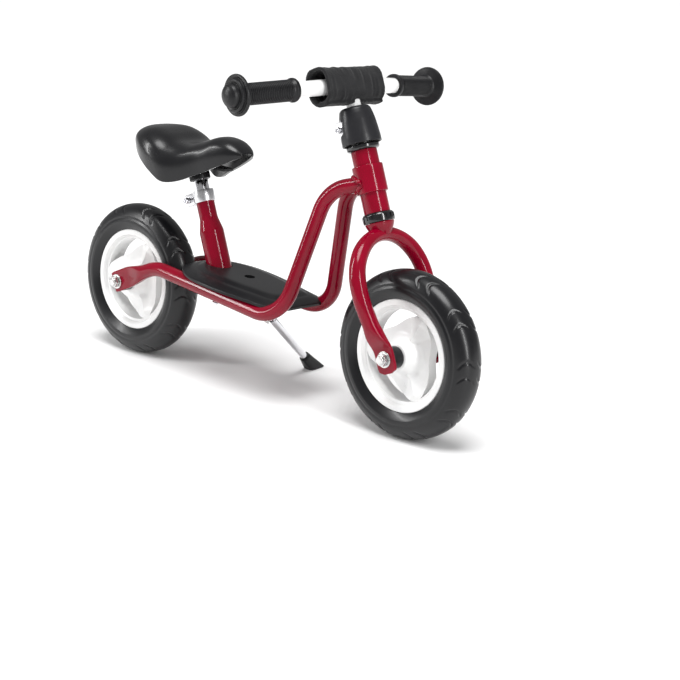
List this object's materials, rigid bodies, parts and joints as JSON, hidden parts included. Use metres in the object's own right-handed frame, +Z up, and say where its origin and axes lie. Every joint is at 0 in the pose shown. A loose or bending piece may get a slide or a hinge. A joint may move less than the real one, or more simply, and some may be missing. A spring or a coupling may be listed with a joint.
{
  "type": "balance_bike",
  "caption": "Toddler balance bike with red tube frame, white wheels on foam tyres, black saddle, padded handlebar and footboard, leaning on its side stand",
  "frame": {"origin": "bounding-box bottom centre, on the floor under the bike as it leans on its stand", "axes": "+X is the riding direction, +Y is to the rider's left (the side it leans to), +Z is up from the floor"},
  "size_m": [0.6876, 0.3658, 0.4357],
  "materials": {
    "red_paint": "gloss powder coat",
    "white_lacquer": "gloss",
    "white_moulding": "moulded nylon",
    "bright_steel": "zinc and chrome plate",
    "clamp_alloy": "satin",
    "black_moulding": "fine texture",
    "grip_rubber": "matt",
    "foam_tyre": "satin foam rubber",
    "saddle_skin": "satin skinned foam",
    "pad_cloth": "woven polyester"
  },
  "bodies": {
    "frame": {"frame_tube_left": "red_paint", "frame_tube_right": "red_paint", "bridge_front": "red_paint", "bridge_rear": "red_paint", "head_tube": "red_paint", "head_sleeve": "red_paint", "headset_bush_lower": "black_moulding", "headset_bush_upper": "black_moulding", "seat_tube": "red_paint", "seat_stay_left": "red_paint", "seat_stay_right": "red_paint", "seat_clamp": "clamp_alloy", "seat_clamp_bolt": "bright_steel", "footboard": "black_moulding", "footboard_screw_1": "bright_steel", "footboard_screw_2": "bright_steel", "rear_axle": "bright_steel", "rear_spacer_left": "black_moulding", "rear_spacer_right": "black_moulding", "rear_nut_left": "bright_steel", "rear_nut_right": "bright_steel", "stand_bracket": "red_paint", "stand_bolt": "bright_steel", "stand_nut": "bright_steel", "stand_spring": "bright_steel"},
    "fork": {"fork_arch": "red_paint", "fork_crown": "red_paint", "fork_steerer": "bright_steel", "stem_clamp": "clamp_alloy", "stem_clamp_bolt": "bright_steel", "stem_cover": "black_moulding", "front_axle": "bright_steel", "front_spacer_left": "black_moulding", "front_spacer_right": "black_moulding", "front_nut_left": "bright_steel", "front_nut_right": "bright_steel"},
    "handlebar": {"handlebar": "white_lacquer", "handlebar_stem": "white_lacquer", "grip_left": "grip_rubber", "grip_right": "grip_rubber", "bar_pad": "pad_cloth"},
    "front_wheel": {"front_rim": "white_moulding", "front_tyre": "foam_tyre", "front_bearing_left": "bright_steel", "front_bearing_right": "bright_steel"},
    "rear_wheel": {"rear_rim": "white_moulding", "rear_tyre": "foam_tyre", "rear_bearing_left": "bright_steel", "rear_bearing_right": "bright_steel"},
    "seat": {"seat_post": "bright_steel", "saddle_clamp": "black_moulding", "saddle": "saddle_skin", "saddle_base": "black_moulding"},
    "stand": {"stand_plate": "bright_steel", "stand_leg": "bright_steel", "stand_foot": "grip_rubber"}
  },
  "joints": [
    {"name": "steering", "type": "hinge", "parent": "frame", "child": "fork", "pos_m": [0.16195, -0.00917, 0.29822], "axis": [-0.3746, 0.0856, 0.9232], "range_deg": [-60, 60]},
    {"name": "handlebar_height", "type": "slide", "parent": "fork", "child": "handlebar", "axis": [-0.3746, 0.0856, 0.9232], "range_m": [0, 0.065]},
    {"name": "front_wheel_spin", "type": "hinge", "parent": "fork", "child": "front_wheel", "pos_m": [0.2417, -0.0274, 0.10167], "axis": [0, 0.9957, -0.0924], "continuous": true},
    {"name": "rear_wheel_spin", "type": "hinge", "parent": "frame", "child": "rear_wheel", "pos_m": [-0.2417, -0.0274, 0.10167], "axis": [0, 0.9957, -0.0924], "continuous": true},
    {"name": "seat_height", "type": "slide", "parent": "frame", "child": "seat", "axis": [-0.3746, 0.0856, 0.9232], "range_m": [-0.012, 0.065]},
    {"name": "stand_fold", "type": "hinge", "parent": "frame", "child": "stand", "pos_m": [0.0032, -0.02363, 0.09791], "axis": [0.1589, 0.711, 0.6849], "range_deg": [0, 75]}
  ]
}
